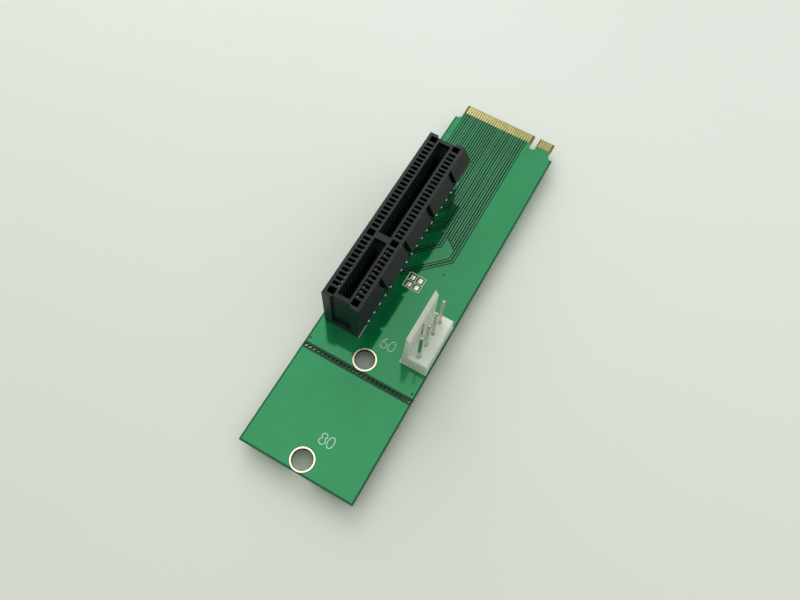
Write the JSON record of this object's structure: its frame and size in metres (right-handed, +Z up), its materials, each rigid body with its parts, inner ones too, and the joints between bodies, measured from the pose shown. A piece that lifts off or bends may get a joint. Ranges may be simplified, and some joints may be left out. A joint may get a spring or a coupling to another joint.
{
  "type": "riser card",
  "caption": "Narrow green adapter board with a keyed edge connector, an upright black card slot, a white power header, ringed screw holes and a snap-off tail.",
  "frame": {"origin": "under the middle of the board, level with the ends of the soldered tails that it stands on", "axes": "+Y along the board toward the edge connector, +Z up out of the card slot's mouth, +X toward the power header"},
  "size_m": [0.022, 0.0826, 0.0145],
  "materials": {
    "board_mask": "glossy green solder mask over glass epoxy",
    "slot_plastic": "satin black moulding",
    "contact_metal": "gold-flashed spring strip",
    "header_plastic": "ivory moulding",
    "pin_metal": "bright tin plate",
    "gold_plate": "pale gold plate over copper",
    "masked_copper": "copper lines under green solder mask",
    "solder": "bright soft solder"
  },
  "bodies": {
    "root": {"circuit_board": "board_mask", "slot_housing": "slot_plastic", "slot_contacts_left_inner": "contact_metal", "slot_contacts_left_outer": "contact_metal", "slot_contacts_right_inner": "contact_metal", "slot_contacts_right_outer": "contact_metal", "header_housing": "header_plastic", "header_pin_1": "pin_metal", "header_pin_2": "pin_metal", "header_pin_3": "pin_metal", "header_pin_4": "pin_metal", "screw_land_short": "gold_plate", "screw_land_long": "gold_plate", "edge_fingers_top": "gold_plate", "edge_fingers_bottom": "gold_plate", "jumper_pads": "gold_plate", "signal_traces": "masked_copper", "slot_solder": "solder", "header_solder": "solder"}
  },
  "joints": []
}
